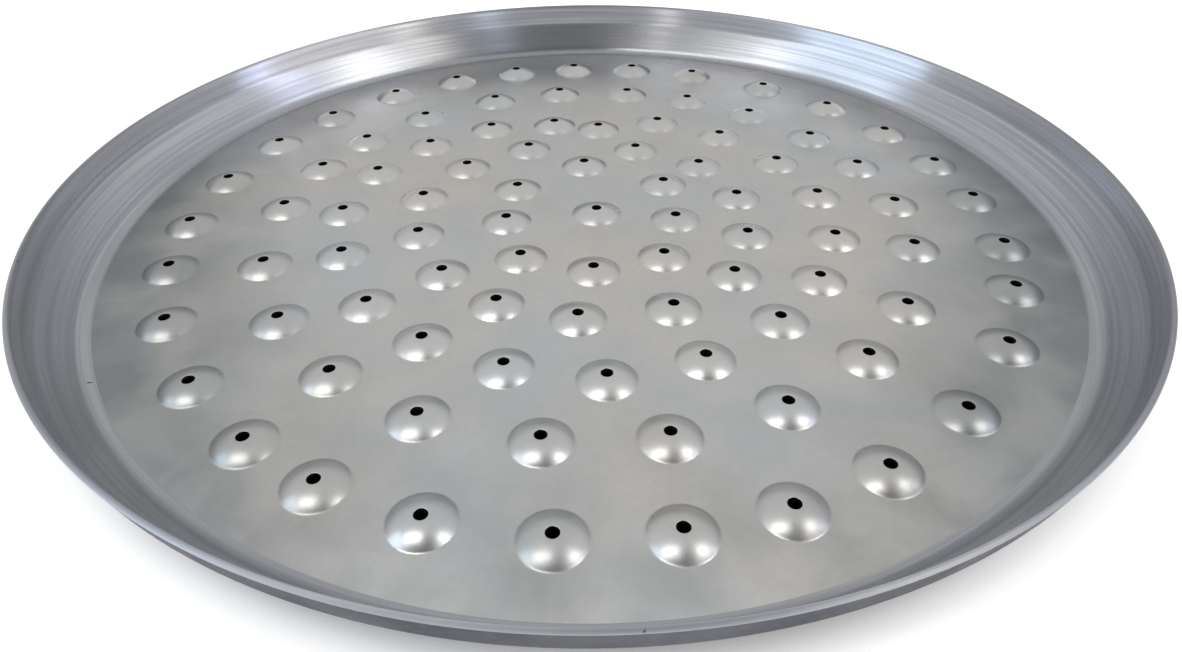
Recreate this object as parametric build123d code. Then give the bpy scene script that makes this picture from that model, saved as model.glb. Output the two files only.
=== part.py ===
from build123d import *
from math import radians, sin, sqrt, tan
import os

# Round pizza pan drawn from one sheet, in millimetres. The origin is the middle of the underside, with +Z up.

# Dish
mouth_diameter = 406.4          # across the mouth, inside the edge
overall_height = 25.4           # from the table to the top of the edge
sheet_thickness = 1.6
wall_lean = 34.2                # of the sloping wall, in degrees from upright
floor_bend_radius = 6.5         # where the wall meets the floor, on the inside
collar_height = 9.3             # of the steeper band under the edge
collar_lean = 15                # of that band, in degrees from upright
collar_bend_radius = 5.0        # at its foot, on the inside

# Nibs
nib_diameter = 20.6             # where the dome would meet the floor with no bend
nib_height = 3.5                # above the floor, with the dome unpierced
nib_bend_radius = 1.5           # round the foot, on the inside of the pan
vent_diameter = 4.0

# Rings of nibs, as shares of the floor's radius. The punch was turned by eye, so the steps differ. Each ring
# has the angle where it starts, in degrees from +X towards +Y, and then the step from each nib to the next,
# round to the first.
ring_shares = [0.207, 0.361, 0.518, 0.675, 0.856]
ring_starts = [40.5, 14, 9.5, 4, 4.5]
ring_steps = [
    [52.5, 49.5, 42.5, 44, 43, 41.5, 43, 44],
    [28, 28.5, 44, 27, 25.5, 24, 25.5, 24.5, 25.5, 28.5, 26.5, 25, 27.5],
    [19.5, 21, 19.5, 17.5, 14, 18.5, 19, 19, 20, 18.5, 21, 18, 18.5, 19.5, 19.5, 20.5, 18.5, 18.5, 19.5],
    [15.5, 15, 16.5, 15.5, 14.5, 16, 15.5, 17.5, 16, 14, 16, 19.5, 17, 17, 16.5, 17.5, 17, 17.5, 17, 15.5,
     18.5, 15],
    [11.5, 12.5, 13, 13.5, 14.5, 12, 11.5, 11.5, 12, 12.5, 13.5, 12.5, 13.5, 13, 11.5, 12.5, 13.5, 12.5,
     10.5, 12, 12.5, 12, 11, 11.5, 13.5, 14, 12.5, 10.5, 13],
]
middle_nib_share = 0.0225       # how far it lies off the middle, as a share of the floor's radius
middle_nib_angle = 48

# How far each nib of the three inner rings strays outwards from its ring, as shares of its own diameter.
# The two outer rings run true.
stray_shares = [
    [0.15, 0.3, 0, -0.25, 0.05, 0, 0.1, -0.2],
    [-0.2, -0.1, -0.2, 0, 0.1, 0.2, 0.05, 0, 0, 0, 0.05, 0, -0.2],
    [0, -0.05, -0.05, -0.1, -0.7, -0.4, -0.05, 0.1, 0.2, 0.2, 0.05, 0.05, 0, 0, 0.1, 0, -0.1, -0.1, 0],
]


def outward(start, end):
    """The direction square to a run of the wall's section, towards the outside of the pan."""
    run = (end - start).normalized()
    return Vector(run.Y, -run.X)


def outer_corner(corner, normal_before, normal_after):
    """Where the outside of the sheet turns, at a corner of the inside line."""
    joint = (normal_before + normal_after) / (1 + normal_before.dot(normal_after))
    return corner + joint * sheet_thickness


def inside_corners():
    """The corners of the inside line, before it is bent: the mouth, the collar's foot and the floor's edge."""
    lean = radians(collar_lean)
    mouth = Vector(mouth_diameter / 2, overall_height - sheet_thickness / 2 * (1 - sin(lean)))
    foot_z = overall_height - collar_height
    collar_foot = Vector(mouth.X - (mouth.Y - foot_z) * tan(lean), foot_z)
    floor_radius = collar_foot.X - (foot_z - sheet_thickness) * tan(radians(wall_lean))
    return mouth, collar_foot, Vector(floor_radius, sheet_thickness)


def make_dish():
    """The floor, the sloping wall, the collar and the rounded edge, before the nibs are pressed."""
    half_sheet = sheet_thickness / 2
    mouth, collar_foot, floor_corner = inside_corners()
    floor_middle = Vector(0, sheet_thickness)

    floor_normal = outward(floor_middle, floor_corner)
    wall_normal = outward(floor_corner, collar_foot)
    collar_normal = outward(collar_foot, mouth)
    under_middle = Vector(0, 0)
    under_corner = outer_corner(floor_corner, floor_normal, wall_normal)
    under_foot = outer_corner(collar_foot, wall_normal, collar_normal)
    under_mouth = mouth + collar_normal * sheet_thickness
    crest = mouth + collar_normal * half_sheet + (mouth - collar_foot).normalized() * half_sheet

    inside_radii = (floor_bend_radius, collar_bend_radius)
    outside_radii = (floor_bend_radius + sheet_thickness, collar_bend_radius + sheet_thickness)
    inside = FilletPolyline(floor_middle, floor_corner, collar_foot, mouth, radius=inside_radii)
    outside = FilletPolyline(under_middle, under_corner, under_foot, under_mouth, radius=outside_radii)
    edge = ThreePointArc(mouth, crest, under_mouth)
    middle = Line(under_middle, floor_middle)
    section = make_face([*inside.edges(), *outside.edges(), edge, middle])
    return revolve(Plane.XZ * section, Axis.Z)


def make_nib():
    """One nib with its vent, out to where its foot runs level into the floor."""
    foot_radius = nib_diameter / 2
    dome_radius = (foot_radius ** 2 + nib_height ** 2) / (2 * nib_height)
    dome_z = sheet_thickness + nib_height - dome_radius
    inner_dome = dome_radius - sheet_thickness
    bend_z = sheet_thickness + nib_bend_radius
    reach = dome_radius + nib_bend_radius
    bend_x = sqrt(reach ** 2 - (bend_z - dome_z) ** 2)
    slope_x = bend_x / reach
    vent_radius = vent_diameter / 2

    # Each arc is given its start, its middle and its end, on a circle round the dome's or the bend's middle.
    def on_dome(radius, angle_sine):
        return Vector(radius * angle_sine, dome_z + radius * sqrt(1 - angle_sine ** 2))

    def on_bend(radius, angle_sine):
        return Vector(bend_x - radius * angle_sine, bend_z - radius * sqrt(1 - angle_sine ** 2))

    outer_bend = nib_bend_radius + sheet_thickness
    top_vent = on_dome(dome_radius, vent_radius / dome_radius)
    under_vent = on_dome(inner_dome, vent_radius / inner_dome)
    top = [
        ThreePointArc(top_vent, on_dome(dome_radius, slope_x / 2), on_dome(dome_radius, slope_x)),
        ThreePointArc(on_bend(nib_bend_radius, slope_x), on_bend(nib_bend_radius, slope_x / 2),
                      on_bend(nib_bend_radius, 0)),
    ]
    under = [
        ThreePointArc(under_vent, on_dome(inner_dome, slope_x / 2), on_dome(inner_dome, slope_x)),
        ThreePointArc(on_bend(outer_bend, slope_x), on_bend(outer_bend, slope_x / 2), on_bend(outer_bend, 0)),
    ]
    rim = Line(on_bend(nib_bend_radius, 0), on_bend(outer_bend, 0))
    vent = Line(top_vent, under_vent)
    section = make_face([*top, *under, rim, vent])
    return revolve(Plane.XZ * section, Axis.Z), bend_x


def nib_places():
    """The middle of each nib on the floor."""
    floor_radius = inside_corners()[-1].X
    places = [Vector(middle_nib_share * floor_radius, 0).rotate(Axis.Z, middle_nib_angle)]
    for ring, share in enumerate(ring_shares):
        angle = ring_starts[ring]
        for index, step in enumerate(ring_steps[ring]):
            stray = 0
            if ring < len(stray_shares):
                stray = stray_shares[ring][index] * nib_diameter
            places.append(Vector(share * floor_radius + stray, 0).rotate(Axis.Z, angle))
            angle += step
    return places


def set_nib(nib, nib_reach, place, places):
    """A nib at its place, cut half-way to each neighbour that its foot would run into."""
    placed = Pos(place) * nib
    for other in places:
        if 0 < (other - place).length < 2 * nib_reach:
            half_way = Plane(origin=(place + other) / 2, z_dir=place - other)
            placed = split(placed, bisect_by=half_way, keep=Keep.TOP)
    return placed


def make_pan():
    """The dish, with its floor opened where each nib goes and the nibs set in."""
    nib, nib_reach = make_nib()
    places = nib_places()
    opening = extrude(Circle(nib_reach), amount=overall_height, both=True)
    openings = [Pos(place) * opening for place in places]
    nibs = [set_nib(nib, nib_reach, place, places) for place in places]
    print("nibs", len(places))
    return make_dish().cut(*openings).fuse(*nibs)


os.makedirs("parts", exist_ok=True)
pan = make_pan()
export_step(pan, "parts/pan.step")
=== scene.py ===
import random
from math import asin, cos, pi, radians, sin, sqrt, tan

import bmesh
import bpy
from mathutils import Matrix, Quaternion, Vector


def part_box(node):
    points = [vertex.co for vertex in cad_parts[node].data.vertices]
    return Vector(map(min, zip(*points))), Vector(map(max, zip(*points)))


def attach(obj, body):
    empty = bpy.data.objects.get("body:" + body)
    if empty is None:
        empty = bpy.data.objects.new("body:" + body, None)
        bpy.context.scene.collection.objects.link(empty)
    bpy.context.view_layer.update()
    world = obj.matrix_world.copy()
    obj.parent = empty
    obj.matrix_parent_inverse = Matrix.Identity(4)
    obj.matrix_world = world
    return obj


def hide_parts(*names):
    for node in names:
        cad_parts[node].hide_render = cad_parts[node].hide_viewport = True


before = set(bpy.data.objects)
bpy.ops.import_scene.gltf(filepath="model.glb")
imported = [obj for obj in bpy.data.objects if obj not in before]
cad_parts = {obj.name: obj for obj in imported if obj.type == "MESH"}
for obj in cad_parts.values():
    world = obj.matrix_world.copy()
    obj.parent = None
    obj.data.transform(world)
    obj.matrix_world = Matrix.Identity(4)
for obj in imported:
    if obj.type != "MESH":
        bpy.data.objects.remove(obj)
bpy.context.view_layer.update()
mm = 0.001
print("frame loaded")

# Camera, as high and as near as the photograph was taken

view = {
    "place": (0.3 * mm, -300.3 * mm, 180.2 * mm),
    "tilt": 51.895,             # degrees up from straight down
    "roll": -0.324,
    "lens": 25.41,              # in millimetres, as is the sensor's width
    "sensor": 36,
}


def makeCamera():
    bpy.ops.object.camera_add(location=view["place"])
    camera = bpy.context.object
    camera.rotation_mode = "ZYX"
    camera.rotation_euler = (radians(view["tilt"]), 0, radians(view["roll"]))
    camera.data.sensor_width = view["sensor"]
    camera.data.lens = view["lens"]
    camera.data.clip_start = 1 * mm
    bpy.context.scene.camera = camera


makeCamera()
print("camera placed")

# Helpers for modelling

near = 0.01 * mm                    # what is closer than this is taken to be at the same place


def selectNothing():
    for thing in bpy.context.selected_objects:
        thing.select_set(False)


def pickEdges(piece, wanted):       # leaves only the wanted edges selected, in edit mode
    bpy.ops.mesh.select_mode(type="EDGE")
    shape = bmesh.from_edit_mesh(piece.data)
    for face in shape.faces:
        face.select_set(False)
    for edge in shape.edges:
        edge.select_set(wanted(edge))
    bmesh.update_edit_mesh(piece.data)


def radiusOf(point):
    return sqrt(point.x ** 2 + point.y ** 2)


def growRing(fromRing, toRing):     # carries the selected ring of edges on to the next radius and height
    bpy.ops.mesh.extrude_region_move(TRANSFORM_OT_translate={"value": (0, 0, toRing[1] - fromRing[1])})
    stretch = toRing[0] / fromRing[0]
    bpy.ops.transform.resize(value=(stretch, stretch, 1), center_override=(0, 0, 0))


def roundRing(piece, radius, height, bend, turn, steps):    # bends the sharp ring at that radius and height
    pickEdges(piece, lambda edge: all(
        abs(radiusOf(vert.co) - radius) < near and abs(vert.co.z - height) < near for vert in edge.verts))
    bpy.ops.mesh.bevel(offset=bend * tan(turn / 2), segments=steps, profile=0.5, affect="EDGES",
                       clamp_overlap=False)


# Pan, one sheet: its inside is modelled first and then gets its thickness downwards

panLow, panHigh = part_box("pan")
dish = {
    "sheet": 1.6 * mm,
    "outerRadius": (panHigh.x - panLow.x) / 2,
    "height": panHigh.z,
    "wallLean": radians(34.2),      # from upright
    "collarLean": radians(15),
    "collarHeight": 9.3 * mm,
    "floorBend": 6.5 * mm,
    "floorMargin": 0.75,            # share of that bend by which the wall's band starts inside its corner
    "collarBend": 5 * mm,
    "sides": 256,
    "bendSteps": 8,
    "collarSteps": 4,
    "edgeRound": 0.78 * mm,         # nearly half the sheet, so the edge is a full round
    "edgeSteps": 4,
    "edgeFold": radians(80),        # only the sheet's cut edge is folded more than this
    "smoothFold": radians(50),      # flatter folds are shaded smooth
    "outsideBelow": -0.2,           # faces of the wall whose normal points lower are on its outside
}
nib = {
    "radius": 10.3 * mm,
    "height": 3.5 * mm,
    "foot": 1.5 * mm,               # bend where the dome runs into the floor
    "vent": 2 * mm,
    "ventRound": 0.22 * mm,
    "ventSteps": 2,
    "ventFold": radians(70),        # on the floor, only the vents' edges are folded more than this
    "ventUpright": 0.55,            # and only on their faces is the normal's upward part smaller
    "margin": 0.1 * mm,             # level ring round the foot, which keeps the floor's shading flat
    "sides": 28,
    "domeSteps": 9,
    "footSteps": 4,
    "punchSpread": 0.04,            # share by which the depth of the punch differs
    "punchSeed": 7,
}
finishSlots = {"floor": 0, "wall": 1, "vent": 2, "outside": 3}

# Rings of nibs as in the solid: shares of the floor's radius, then where each ring starts, in degrees from
# +X towards +Y, and the uneven steps from nib to nib
ringShares = [0.207, 0.361, 0.518, 0.675, 0.856]
ringStarts = [40.5, 14, 9.5, 4, 4.5]
ringSteps = [
    [52.5, 49.5, 42.5, 44, 43, 41.5, 43, 44],
    [28, 28.5, 44, 27, 25.5, 24, 25.5, 24.5, 25.5, 28.5, 26.5, 25, 27.5],
    [19.5, 21, 19.5, 17.5, 14, 18.5, 19, 19, 20, 18.5, 21, 18, 18.5, 19.5, 19.5, 20.5, 18.5, 18.5, 19.5],
    [15.5, 15, 16.5, 15.5, 14.5, 16, 15.5, 17.5, 16, 14, 16, 19.5, 17, 17, 16.5, 17.5, 17, 17.5, 17, 15.5,
     18.5, 15],
    [11.5, 12.5, 13, 13.5, 14.5, 12, 11.5, 11.5, 12, 12.5, 13.5, 12.5, 13.5, 13, 11.5, 12.5, 13.5, 12.5,
     10.5, 12, 12.5, 12, 11, 11.5, 13.5, 14, 12.5, 10.5, 13],
]
strayShares = [                     # outwards, as shares of a nib's diameter; the two outer rings run true
    [0.15, 0.3, 0, -0.25, 0.05, 0, 0.1, -0.2],
    [-0.2, -0.1, -0.2, 0, 0.1, 0.2, 0.05, 0, 0, 0, 0.05, 0, -0.2],
    [0, -0.05, -0.05, -0.1, -0.7, -0.4, -0.05, 0.1, 0.2, 0.2, 0.05, 0.05, 0, 0, 0.1, 0, -0.1, -0.1, 0],
]
middleNibShare = 0.0225
middleNibAngle = 48

floorTop = dish["sheet"]
halfSheet = dish["sheet"] / 2
mouthRadius = dish["outerRadius"] - halfSheet * (1 + cos(dish["collarLean"]))
collarFootHeight = dish["height"] - dish["collarHeight"]
mouthHeight = dish["height"] - halfSheet * (1 - sin(dish["collarLean"]))
collarFootRadius = mouthRadius - (mouthHeight - collarFootHeight) * tan(dish["collarLean"])
floorRadius = collarFootRadius - (collarFootHeight - floorTop) * tan(dish["wallLean"])


def makeNib():                      # one nib with its foot at height 0, round the middle
    domeRadius = (nib["radius"] ** 2 + nib["height"] ** 2) / (2 * nib["height"])
    footSlope = asin(nib["radius"] / domeRadius)
    ventSlope = asin(nib["vent"] / domeRadius)
    rings = []
    for step in range(nib["domeSteps"] + 1):
        slope = ventSlope + (footSlope - ventSlope) * step / nib["domeSteps"]
        rings.append((domeRadius * sin(slope), nib["height"] - domeRadius * (1 - cos(slope))))
    reach = nib["radius"] + nib["foot"] * tan(footSlope / 2) + nib["margin"]
    rings.append((reach, rings[-1][1]))
    bpy.ops.mesh.primitive_circle_add(vertices=nib["sides"], radius=rings[0][0], location=(0, 0, 0))
    piece = bpy.context.object
    bpy.ops.object.mode_set(mode="EDIT")
    bpy.ops.transform.translate(value=(0, 0, rings[0][1]))
    for fromRing, toRing in zip(rings, rings[1:]):
        growRing(fromRing, toRing)
    roundRing(piece, nib["radius"], 0, nib["foot"], footSlope, nib["footSteps"])
    bpy.ops.object.mode_set(mode="OBJECT")
    foot = piece.data.attributes.new("foot", "FLOAT", "POINT")      # 1 in the bend round the foot
    for vert, mark in zip(piece.data.vertices, foot.data):
        mark.value = max(0, 1 - abs(radiusOf(vert.co) - nib["radius"]) / nib["foot"])
    return piece


def nibPlaces():
    places = []
    angle = radians(middleNibAngle)
    places.append((middleNibShare * floorRadius * cos(angle), middleNibShare * floorRadius * sin(angle)))
    for ring, share in enumerate(ringShares):
        turned = ringStarts[ring]
        for index, step in enumerate(ringSteps[ring]):
            stray = strayShares[ring][index] * 2 * nib["radius"] if ring < len(strayShares) else 0
            away = share * floorRadius + stray
            places.append((away * cos(radians(turned)), away * sin(radians(turned))))
            turned += step
    return places


def makeWall():                     # the floor's edge, the sloping wall and the collar, as one band
    cornerRing = (floorRadius, floorTop)
    innerRing = (floorRadius - dish["floorBend"] * dish["floorMargin"], floorTop)
    footRing = (collarFootRadius, collarFootHeight)
    crestRing = (mouthRadius + halfSheet * sin(dish["collarLean"]),     # half a sheet on, for the edge's round
                 mouthHeight + halfSheet * cos(dish["collarLean"]))
    bpy.ops.mesh.primitive_circle_add(vertices=dish["sides"], radius=innerRing[0], location=(0, 0, 0))
    piece = bpy.context.object
    bpy.ops.object.mode_set(mode="EDIT")
    bpy.ops.transform.translate(value=(0, 0, floorTop))
    rings = [innerRing, cornerRing, footRing, crestRing]
    for fromRing, toRing in zip(rings, rings[1:]):
        growRing(fromRing, toRing)
    roundRing(piece, *cornerRing, dish["floorBend"], pi / 2 - dish["wallLean"], dish["bendSteps"])
    collarTurn = dish["wallLean"] - dish["collarLean"]
    roundRing(piece, *footRing, dish["collarBend"], collarTurn, dish["collarSteps"])
    bpy.ops.object.mode_set(mode="OBJECT")
    return piece


def isCutEdge(edge):                # at the top of the collar, along the ring
    first, second = (vert.co for vert in edge.verts)
    level = abs(first.z - second.z) < near
    atTop = first.z > mouthHeight - dish["sheet"] and radiusOf(first) > collarFootRadius
    return level and atTop and edge.calc_face_angle(0) > dish["edgeFold"]


def isVentEdge(edge):
    return radiusOf(edge.verts[0].co) < floorRadius and edge.calc_face_angle(0) > nib["ventFold"]


def giveFinishes(piece):            # by where each face lies and how it is turned
    floorEnd = floorRadius - dish["floorBend"] * tan((pi / 2 - dish["wallLean"]) / 2)
    for face in piece.data.polygons:
        upwards = face.normal.z
        if radiusOf(face.center) > floorEnd:
            finish = "outside" if upwards < dish["outsideBelow"] else "wall"
        elif upwards < -nib["ventUpright"]:
            finish = "outside"
        else:
            finish = "vent" if upwards < nib["ventUpright"] else "floor"
        face.material_index = finishSlots[finish]


def makePan():
    chance = random.Random(nib["punchSeed"])
    selectNothing()
    firstNib = makeNib()
    nibs = []
    for x, y in nibPlaces():
        selectNothing()
        firstNib.select_set(True)
        bpy.context.view_layer.objects.active = firstNib
        bpy.ops.object.duplicate()
        copy = bpy.context.object
        copy.location = (x, y, floorTop)
        copy.scale.z = 1 + nib["punchSpread"] * chance.uniform(-1, 1)
        nibs.append(copy)
    bpy.data.objects.remove(firstNib)
    print("nibs", len(nibs))
    selectNothing()
    piece = makeWall()
    for copy in nibs:
        copy.select_set(True)
    bpy.context.view_layer.objects.active = piece
    bpy.ops.object.join()
    piece.name = "pressed_pan"
    piece.data.name = "pressed_pan"
    bpy.ops.object.transform_apply(location=True, rotation=True, scale=True)

    bpy.ops.object.mode_set(mode="EDIT")
    pickEdges(piece, lambda edge: edge.is_boundary and all(
        abs(vert.co.z - floorTop) < near for vert in edge.verts))
    bpy.ops.mesh.fill(use_beauty=True)      # the level floor between the nibs
    bpy.ops.mesh.select_all(action="SELECT")
    bpy.ops.mesh.remove_doubles(threshold=near)
    bpy.ops.mesh.normals_make_consistent(inside=False)
    shape = bmesh.from_edit_mesh(piece.data)
    shape.faces.ensure_lookup_table()
    widest = max(shape.faces, key=lambda face: face.calc_area())
    if widest.normal.z < 0:
        bpy.ops.mesh.flip_normals()
    bpy.ops.object.mode_set(mode="OBJECT")

    thickness = piece.modifiers.new("sheet", "SOLIDIFY")
    thickness.thickness = dish["sheet"]
    thickness.offset = -1
    thickness.use_even_offset = True
    thickness.use_quality_normals = True
    bpy.ops.object.modifier_apply(modifier=thickness.name)

    bpy.ops.object.mode_set(mode="EDIT")
    pickEdges(piece, isCutEdge)
    bpy.ops.mesh.bevel(offset=dish["edgeRound"], segments=dish["edgeSteps"], profile=0.5, affect="EDGES")
    pickEdges(piece, isVentEdge)
    bpy.ops.mesh.bevel(offset=nib["ventRound"], segments=nib["ventSteps"], profile=0.5, affect="EDGES")
    bpy.ops.object.mode_set(mode="OBJECT")
    bpy.ops.object.shade_smooth_by_angle(angle=dish["smoothFold"])
    giveFinishes(piece)
    return piece


pan = makePan()
print("pan modelled", len(pan.data.polygons), "faces")

# Materials


def linearColor(hexColor):          # sRGB hex to the linear values that shaders take
    channels = []
    for start in (1, 3, 5):
        value = int(hexColor[start:start + 2], 16) / 255
        channels.append(value / 12.92 if value <= 0.04045 else ((value + 0.055) / 1.055) ** 2.4)
    return (*channels, 1)


def addNode(tree, kind, settings=None, links=None):     # settings name properties or sockets
    node = tree.nodes.new(kind)
    for name, value in (settings or {}).items():
        if hasattr(node, str(name)):
            setattr(node, name, value)
        elif isinstance(value, str):
            node.inputs[name].default_value = linearColor(value)
        else:
            node.inputs[name].default_value = value
    for name, source in (links or {}).items():
        if hasattr(source, "outputs"):      # a node stands for its first output in use
            source = next(socket for socket in source.outputs if socket.enabled)
        tree.links.new(source, node.inputs[name])
    return node


def newMaterial(name):
    material = bpy.data.materials.new(name)
    material.use_nodes = True
    tree = material.node_tree
    tree.nodes.clear()
    return material, tree


# A ramp gives the noise values where a pattern starts and is full, and for a color its greatest share
floorMetal = {
    "cool": "#D0D3D6",
    "warm": "#DBD6CF",
    "tintSize": 70 * mm,            # patches of warmer and cooler oxide
    "tintRamp": (0.34, 0.66, 1),
    "haze": "#C3C5C7",
    "hazeSize": 22 * mm,            # wiped haze
    "hazeRamp": (0.36, 0.72, 0.45),
    "grainSize": 2.2 * mm,          # the rolled grain is near 0.2 mm, drawn coarser so that it shows
    "grainRamp": (0.35, 0.7, 0.3),
    "stain": "#929698",             # faint bake marks, most of them near the wall; this colour also makes the floor darker towards the wall at left and right
    "stainSize": 30 * mm,
    "stainRamp": (0.36, 0.74, 1),
    "stainStart": 95 * mm,          # from the middle
    "stainEnd": 186 * mm,
    "stainShare": 0.55,
    "stainRough": 0.06,             # what a stain adds to the roughness
    "darkerSide": (0.94, -0.34, 0),  # darker towards the wall at left and right, and least so at the back
    "darkerStart": 100 * mm,
    "darkerEnd": 186 * mm,
    "darkerShare": 0.7,
    "footShade": "#77756E",             # painted shade: a darker ring in the bend round each nib
    "footShadeShare": 0.14,
    "smooth": 0.27,                 # roughness where it was wiped, and where it wasn't
    "rough": 0.33,
    "smearSize": 29 * mm,
    "smearRamp": (0.35, 0.68),
    "waveSize": 62 * mm,            # the sheet isn't quite flat after pressing
    "waveDepth": 0.12 * mm,
    "dentSize": 11 * mm,
    "dentDepth": 0.008 * mm,
}
wallMetal = {
    "color": "#CACCD2",
    "streak": "#A9ABB4",
    "streakLength": 150 * mm,
    "ringSize": 1.5 * mm,           # tool marks are 0.3 mm apart, drawn coarser so that they show
    "ringRamp": (0.4, 0.62, 0.7),
    "ringDepth": 0.014 * mm,
    "corner": "#94969B",            # painted shade, darkening the wall towards its bend into the floor
    "cornerLow": 1.6 * mm,
    "cornerHigh": 6 * mm,
    "cornerShare": 0.5,
    "wornLow": 24.2 * mm,           # the edge is dulled by handling from here up
    "wornHigh": 24.9 * mm,
    "wornRough": 0.35,
    "blotch": "#B1B3BB",
    "blotchSize": 8 * mm,           # across the wall; blotches are drawn out along it too
    "blotchLength": 60 * mm,
    "blotchRamp": (0.4, 0.74, 0.4),
    "blotchRough": 0.08,
    "smooth": 0.2,                  # roughness between the tool marks and on them
    "rough": 0.27,
    "polishRamp": (0.34, 0.7),
    "anisotropic": 0.9,             # the marks run round the pan and smear a highlight across themselves
    "turn": 0.25,
    "nick": "#4E4E4C",              # small dark knocks
    "nickSize": 9 * mm,
    "nickRamp": (0.735, 0.765, 1),
}


def pressedAluminium():             # bare sheet, pressed and used: a grey sheen with soft highlights
    material, tree = newMaterial("pressedAluminium")
    place = addNode(tree, "ShaderNodeTexCoord").outputs["Object"]
    apart = addNode(tree, "ShaderNodeVectorMath", {"operation": "LENGTH"}, {0: place})
    foot = addNode(tree, "ShaderNodeAttribute", {"attribute_name": "foot"}).outputs["Fac"]
    noise = {}
    for name, detail, twist in (("tint", 2, 0), ("haze", 4, 0), ("grain", 4, 0), ("stain", 4, 0.3),
                                ("smear", 4, 0), ("wave", 0, 0), ("dent", 1, 0)):
        noise[name] = addNode(tree, "ShaderNodeTexNoise", {
            "Scale": 1 / floorMetal[name + "Size"], "Detail": detail, "Distortion": twist,
        }, {"Vector": place})
    share = {}
    for name in ("tint", "haze", "grain", "stain"):
        start, full, most = floorMetal[name + "Ramp"]
        share[name] = addNode(tree, "ShaderNodeMapRange", {
            "From Min": start, "From Max": full, "To Max": most}, {"Value": noise[name]})

    byWall = addNode(tree, "ShaderNodeMapRange", {
        "From Min": floorMetal["stainStart"], "From Max": floorMetal["stainEnd"],
        "To Max": floorMetal["stainShare"],
    }, {"Value": apart})
    parts = addNode(tree, "ShaderNodeSeparateXYZ", links={0: place})
    leftOrRight = addNode(tree, "ShaderNodeMath", {"operation": "ABSOLUTE"}, {0: parts.outputs["X"]})
    folded = addNode(tree, "ShaderNodeCombineXYZ", links={0: leftOrRight, 1: parts.outputs["Y"]})
    side = addNode(tree, "ShaderNodeVectorMath", {"operation": "DOT_PRODUCT", 1: floorMetal["darkerSide"]},
                   {0: folded}).outputs["Value"]
    # the floor is made darker towards the wall at left and right, and least so at the back
    baked = addNode(tree, "ShaderNodeMapRange", {
        "interpolation_type": "SMOOTHSTEP", "From Min": floorMetal["darkerStart"],
        "From Max": floorMetal["darkerEnd"], "To Max": floorMetal["darkerShare"],
    }, {"Value": side})
    stain = addNode(tree, "ShaderNodeMath", {"operation": "MULTIPLY_ADD"},
                    {0: share["stain"], 1: byWall, 2: baked})
    # painted shade: the foot attribute darkens the bend round each nib
    footShade = addNode(tree, "ShaderNodeMath", {"operation": "MULTIPLY", 1: floorMetal["footShadeShare"]}, {0: foot})
    color = addNode(tree, "ShaderNodeMix", {
        "data_type": "RGBA", 6: floorMetal["cool"], 7: floorMetal["warm"]}, {0: share["tint"]})
    for amount, over in ((share["haze"], "haze"), (share["grain"], "haze"), (stain, "stain"),
                         (footShade, "footShade")):
        color = addNode(tree, "ShaderNodeMix", {"data_type": "RGBA", 7: floorMetal[over]},
                        {0: amount, 6: color})

    start, full = floorMetal["smearRamp"]
    roughness = addNode(tree, "ShaderNodeMapRange", {
        "From Min": start, "From Max": full, "To Min": floorMetal["smooth"], "To Max": floorMetal["rough"],
    }, {"Value": noise["smear"]})
    roughness = addNode(tree, "ShaderNodeMath", {"operation": "MULTIPLY_ADD", 1: floorMetal["stainRough"]},
                        {0: stain, 2: roughness})
    wave = addNode(tree, "ShaderNodeBump", {"Distance": floorMetal["waveDepth"]}, {"Height": noise["wave"]})
    dents = addNode(tree, "ShaderNodeBump", {"Distance": floorMetal["dentDepth"]},
                    {"Height": noise["dent"], "Normal": wave})
    shader = addNode(tree, "ShaderNodeBsdfPrincipled", {"Metallic": 1},
                     {"Base Color": color, "Roughness": roughness, "Normal": dents})
    addNode(tree, "ShaderNodeOutputMaterial", links={"Surface": shader})
    return material


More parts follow.
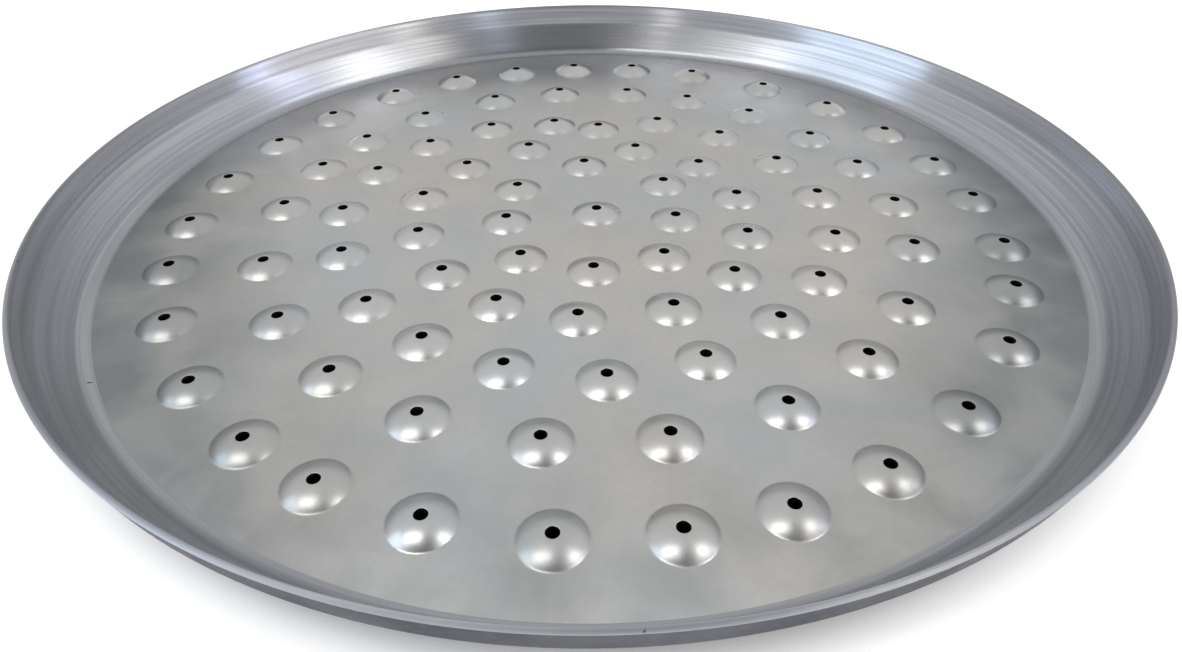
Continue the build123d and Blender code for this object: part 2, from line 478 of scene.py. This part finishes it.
def spunAluminium():                # drawn over a spinning block: smoother, with fine rings that catch the light
    material, tree = newMaterial("spunAluminium")
    place = addNode(tree, "ShaderNodeTexCoord").outputs["Object"]
    level = addNode(tree, "ShaderNodeVectorMath", {"operation": "MULTIPLY", 1: (1, 1, 0)}, {0: place})
    away = addNode(tree, "ShaderNodeVectorMath", {"operation": "LENGTH"}, {0: level})
    parts = addNode(tree, "ShaderNodeSeparateXYZ", links={0: place})
    across = addNode(tree, "ShaderNodeCombineXYZ", links={0: away, 2: parts.outputs["Z"]})
    where = {"nick": place}
    for name, length in (("ring", "streakLength"), ("blotch", "blotchLength")):     # drawn out along the wall
        long = wallMetal[name + "Size"] / wallMetal[length]
        where[name] = addNode(tree, "ShaderNodeVectorMath", {"operation": "MULTIPLY_ADD", 1: (long, long, 0)},
                              {0: place, 2: across})
    noise = {}
    for name, detail, twist in (("ring", 3, 0), ("blotch", 4, 0), ("nick", 5, 2)):
        noise[name] = addNode(tree, "ShaderNodeTexNoise", {
            "Scale": 1 / wallMetal[name + "Size"], "Detail": detail, "Distortion": twist,
        }, {"Vector": where[name]})
    share = {}
    for name in ("ring", "blotch", "nick"):
        start, full, most = wallMetal[name + "Ramp"]
        share[name] = addNode(tree, "ShaderNodeMapRange", {
            "From Min": start, "From Max": full, "To Max": most}, {"Value": noise[name]})
    # painted shade: the wall is darker low down, towards its bend into the floor
    share["corner"] = addNode(tree, "ShaderNodeMapRange", {
        "interpolation_type": "SMOOTHSTEP", "From Min": wallMetal["cornerLow"],
        "From Max": wallMetal["cornerHigh"], "To Min": wallMetal["cornerShare"], "To Max": 0,
    }, {"Value": parts.outputs["Z"]})
    color = addNode(tree, "ShaderNodeMix", {
        "data_type": "RGBA", 6: wallMetal["color"], 7: wallMetal["streak"]}, {0: share["ring"]})
    for name in ("blotch", "corner", "nick"):
        color = addNode(tree, "ShaderNodeMix", {"data_type": "RGBA", 7: wallMetal[name]},
                        {0: share[name], 6: color})

    start, full = wallMetal["polishRamp"]
    roughness = addNode(tree, "ShaderNodeMapRange", {
        "From Min": start, "From Max": full, "To Min": wallMetal["smooth"], "To Max": wallMetal["rough"],
    }, {"Value": noise["ring"]})
    roughness = addNode(tree, "ShaderNodeMath", {"operation": "MULTIPLY_ADD", 1: wallMetal["blotchRough"]},
                        {0: share["blotch"], 2: roughness})
    worn = addNode(tree, "ShaderNodeMapRange", {
        "From Min": wallMetal["wornLow"], "From Max": wallMetal["wornHigh"], "To Max": wallMetal["wornRough"],
    }, {"Value": parts.outputs["Z"]})
    roughness = addNode(tree, "ShaderNodeMath", {"operation": "ADD"}, {0: roughness, 1: worn})
    turned = addNode(tree, "ShaderNodeBump", {"Distance": wallMetal["ringDepth"]}, {"Height": noise["ring"]})
    around = addNode(tree, "ShaderNodeTangent", {"direction_type": "RADIAL", "axis": "Z"})
    shader = addNode(tree, "ShaderNodeBsdfPrincipled", {
        "Metallic": 1, "Anisotropic": wallMetal["anisotropic"], "Anisotropic Rotation": wallMetal["turn"],
    }, {"Base Color": color, "Roughness": roughness, "Normal": turned, "Tangent": around})
    addNode(tree, "ShaderNodeOutputMaterial", links={"Surface": shader})
    return material


ventEdge = {
    # painted shade: the vents' faces are coloured near black
    "color": "#34332F",
    "roughness": 0.55,
    "darkSpeckleSize": 0.8 * mm,
    "darkSpeckle": "#1E1D1B",
}


def shadedVentAluminium():             # the torn edge of a punched vent: dull, and coloured near black as painted shade, where the hole leads down into shade
    material, tree = newMaterial("shadedVentAluminium")
    place = addNode(tree, "ShaderNodeTexCoord").outputs["Object"]
    darkSpeckle = addNode(tree, "ShaderNodeTexNoise", {"Scale": 1 / ventEdge["darkSpeckleSize"]}, {"Vector": place})
    color = addNode(tree, "ShaderNodeMix", {"data_type": "RGBA", 6: ventEdge["color"], 7: ventEdge["darkSpeckle"]},
                    {0: darkSpeckle})
    shader = addNode(tree, "ShaderNodeBsdfPrincipled", {"Metallic": 1, "Roughness": ventEdge["roughness"]},
                     {"Base Color": color})
    addNode(tree, "ShaderNodeOutputMaterial", links={"Surface": shader})
    return material


outsideMetal = {
    # painted shade: this grey is darker than the inside's, for the shaded ground that the outside mirrors
    "color": "#767780",
    "baked": "#64656E",
    "bakedSize": 24 * mm,
    "bakedRamp": (0.36, 0.66, 1),
    "scuff": "#8E9099",             # where it slid on oven racks
    "scuffSize": 3 * mm,
    "scuffRamp": (0.52, 0.72, 0.5),
    "detail": 4,
    "smooth": 0.28,
    "rough": 0.42,
}


def bakedAndShadedAluminium():               # the outside and underside, dulled by years in the oven, with darker baked blotches; their dark grey colour is painted shade, for the shaded ground that they mirror
    material, tree = newMaterial("bakedAndShadedAluminium")
    place = addNode(tree, "ShaderNodeTexCoord").outputs["Object"]
    share = {}
    for name in ("baked", "scuff"):
        noise = addNode(tree, "ShaderNodeTexNoise", {
            "Scale": 1 / outsideMetal[name + "Size"], "Detail": outsideMetal["detail"]}, {"Vector": place})
        start, full, most = outsideMetal[name + "Ramp"]
        share[name] = addNode(tree, "ShaderNodeMapRange", {
            "From Min": start, "From Max": full, "To Max": most}, {"Value": noise})
    color = addNode(tree, "ShaderNodeMix", {
        "data_type": "RGBA", 6: outsideMetal["color"], 7: outsideMetal["baked"]}, {0: share["baked"]})
    color = addNode(tree, "ShaderNodeMix", {"data_type": "RGBA", 7: outsideMetal["scuff"]},
                    {0: share["scuff"], 6: color})
    roughness = addNode(tree, "ShaderNodeMapRange", {
        "To Min": outsideMetal["smooth"], "To Max": outsideMetal["rough"]}, {"Value": share["baked"]})
    shader = addNode(tree, "ShaderNodeBsdfPrincipled", {"Metallic": 1},
                     {"Base Color": color, "Roughness": roughness})
    addNode(tree, "ShaderNodeOutputMaterial", links={"Surface": shader})
    return material


for finish in (pressedAluminium(), spunAluminium(), shadedVentAluminium(), bakedAndShadedAluminium()):
    pan.data.materials.append(finish)       # in the order of finishSlots
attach(pan, "root")
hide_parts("pan")
print("pan finished")

# Floor and light

stage = {
    "reach": 6,                     # metres from the middle
    "sides": 96,
    "gap": 0.1 * mm,                # just clear of the pan's underside
    "color": "#F4F4F4",
    "shadeBelow": "#16150F",             # painted shade: a dark ground under the pan, where only the vents let one see it
    "shadeBelowEnd": 180 * mm,
    "lift": 0.5,                    # what is added so that the ground is white where no shadow falls
    "liftStart": 188 * mm,
    "liftEnd": 204 * mm,
    "mirrorStart": 215 * mm,        # the lift that the metal reflects starts farther out
    "mirrorEnd": 330 * mm,
}


def makeFloor():
    bpy.ops.mesh.primitive_circle_add(vertices=stage["sides"], radius=stage["reach"], fill_type="NGON",
                                      location=(0, 0, -stage["gap"]))
    floor = bpy.context.object
    floor.name = "ground"
    material, tree = newMaterial("paleGround")
    place = addNode(tree, "ShaderNodeTexCoord").outputs["Object"]
    apart = addNode(tree, "ShaderNodeVectorMath", {"operation": "LENGTH"}, {0: place})
    path = addNode(tree, "ShaderNodeLightPath")
    mirrored = addNode(tree, "ShaderNodeMath", {"operation": "MAXIMUM"},
                       {0: path.outputs["Is Glossy Ray"], 1: path.outputs["Is Transmission Ray"]})
    glow = None
    for ray, start in ((path.outputs["Is Camera Ray"], "lift"), (mirrored, "mirror")):
        ramp = addNode(tree, "ShaderNodeMapRange", {
            "From Min": stage[start + "Start"], "From Max": stage[start + "End"], "To Max": stage["lift"],
        }, {"Value": apart})
        strength = addNode(tree, "ShaderNodeMath", {"operation": "MULTIPLY"}, {0: ramp, 1: ray})
        glow = strength if glow is None else addNode(tree, "ShaderNodeMath", {"operation": "ADD"},
                                                     {0: glow, 1: strength})
    # painted shade: the ground is coloured dark under the pan
    beyond = addNode(tree, "ShaderNodeMath", {"operation": "GREATER_THAN", 1: stage["shadeBelowEnd"]}, {0: apart})
    color = addNode(tree, "ShaderNodeMix", {"data_type": "RGBA", 6: stage["shadeBelow"], 7: stage["color"]},
                    {0: beyond})
    matt = addNode(tree, "ShaderNodeBsdfDiffuse", links={"Color": color})
    light = addNode(tree, "ShaderNodeEmission", links={"Strength": glow})
    both = addNode(tree, "ShaderNodeAddShader", links={0: matt, 1: light})
    addNode(tree, "ShaderNodeOutputMaterial", links={"Surface": both})
    floor.data.materials.append(material)


lightAway = 3                       # metres from the pan to each light
softboxes = {                       # at azimuth from +X towards +Y and elevation; all angles in degrees
    "left": {"at": (212, 67), "wide": 30, "high": 15, "turn": 56, "level": 3.4, "tint": "#FFFDF8"},
    "right": {"at": (-12, 54), "wide": 17, "high": 15, "turn": -74, "level": 3.4, "tint": "#FFFDF8"},
    "leftWindow": {"at": (194, 26), "wide": 33, "high": 43, "level": 1.4, "tint": "#D6EBFF"},
    "rightPane": {"at": (2, 27), "wide": 8, "high": 42, "level": 1.3, "tint": "#D8DEFF"},
    "front": {"at": (-20, 20), "wide": 42, "high": 38, "level": 0.45, "tint": "#FFF8F0"},
    "frontWarm": {"at": (-40, 30), "wide": 8, "high": 46, "level": 0.9, "tint": "#FFF2E0"},
    "frontPane": {"at": (-62, 30), "wide": 6, "high": 42, "level": 0.7, "tint": "#CFE0F5"},
    "frontGap": {"at": (-112, 30), "wide": 5, "high": 42, "level": 1.1, "tint": "#F6F2EA"},
}
room = {                            # each ramp is a start and an end along an axis of the direction looked in
    "tint": "#F5F5F4",
    "behind": 0.32,                 # level near the horizon, past the pan and on the camera's side
    "front": 0.62,
    "frontToBehind": (-0.2, 0.9),   # along Y
    "high": 0.78,                   # level of the ceiling and of the backdrop
    "riseRamp": (0.05, 0.5),        # along Z
    "backRamp": (-0.6, 0.1),        # along Y
    "dimmed": 0.72,                 # share that is kept off above the camera
    "dimmedFrom": (0, -0.5, 0.866),
    "dimmedRamp": (0.84, 0.97),     # cosine of the angle to that direction
}


def makeLights():
    for name, box in softboxes.items():
        azimuth, elevation = (radians(angle) for angle in box["at"])
        towards = Vector((cos(azimuth) * cos(elevation), sin(azimuth) * cos(elevation), sin(elevation)))
        bpy.ops.object.light_add(type="AREA", location=towards * lightAway)
        lamp = bpy.context.object
        lamp.name = name + "Softbox"
        upright = towards.to_track_quat("Z", "Y")
        lamp.rotation_euler = (upright @ Quaternion((0, 0, 1), radians(box.get("turn", 0)))).to_euler()
        lamp.visible_camera = False
        lamp.data.shape = "RECTANGLE"
        lamp.data.size = 2 * lightAway * tan(radians(box["wide"] / 2))
        lamp.data.size_y = 2 * lightAway * tan(radians(box["high"] / 2))
        lamp.data.color = linearColor(box["tint"])[:3]
        lamp.data.energy = box["level"] * lamp.data.size * lamp.data.size_y * pi


def makeRoom():
    world = bpy.data.worlds.new("room")
    bpy.context.scene.world = world
    world.use_nodes = True
    tree = world.node_tree
    tree.nodes.clear()
    towards = addNode(tree, "ShaderNodeTexCoord").outputs["Generated"]
    parts = addNode(tree, "ShaderNodeSeparateXYZ", links={0: towards})
    start, end = room["frontToBehind"]
    low = addNode(tree, "ShaderNodeMapRange", {
        "From Min": start, "From Max": end, "To Min": room["front"], "To Max": room["behind"],
    }, {"Value": parts.outputs["Y"]})
    share = {}
    for name, axis in (("rise", "Z"), ("back", "Y")):
        start, end = room[name + "Ramp"]
        share[name] = addNode(tree, "ShaderNodeMapRange", {
            "interpolation_type": "SMOOTHSTEP", "From Min": start, "From Max": end,
        }, {"Value": parts.outputs[axis]})
    up = addNode(tree, "ShaderNodeMath", {"operation": "MULTIPLY"}, {0: share["rise"], 1: share["back"]})
    level = addNode(tree, "ShaderNodeMapRange", {"To Max": room["high"]}, {"Value": up, "To Min": low})
    facing = addNode(tree, "ShaderNodeVectorMath", {"operation": "DOT_PRODUCT", 1: room["dimmedFrom"]},
                     {0: towards})
    start, end = room["dimmedRamp"]
    dimmed = addNode(tree, "ShaderNodeMapRange", {
        "interpolation_type": "SMOOTHSTEP", "From Min": start, "From Max": end, "To Min": 1,
        "To Max": 1 - room["dimmed"],
    }, {"Value": facing})
    strength = addNode(tree, "ShaderNodeMath", {"operation": "MULTIPLY"}, {0: level, 1: dimmed})
    sky = addNode(tree, "ShaderNodeBackground", {"Color": room["tint"]}, {"Strength": strength})
    addNode(tree, "ShaderNodeOutputWorld", links={"Surface": sky})


makeFloor()
makeLights()
makeRoom()
print("floor and lights placed")

bpy.context.scene.view_settings.view_transform = "Standard"
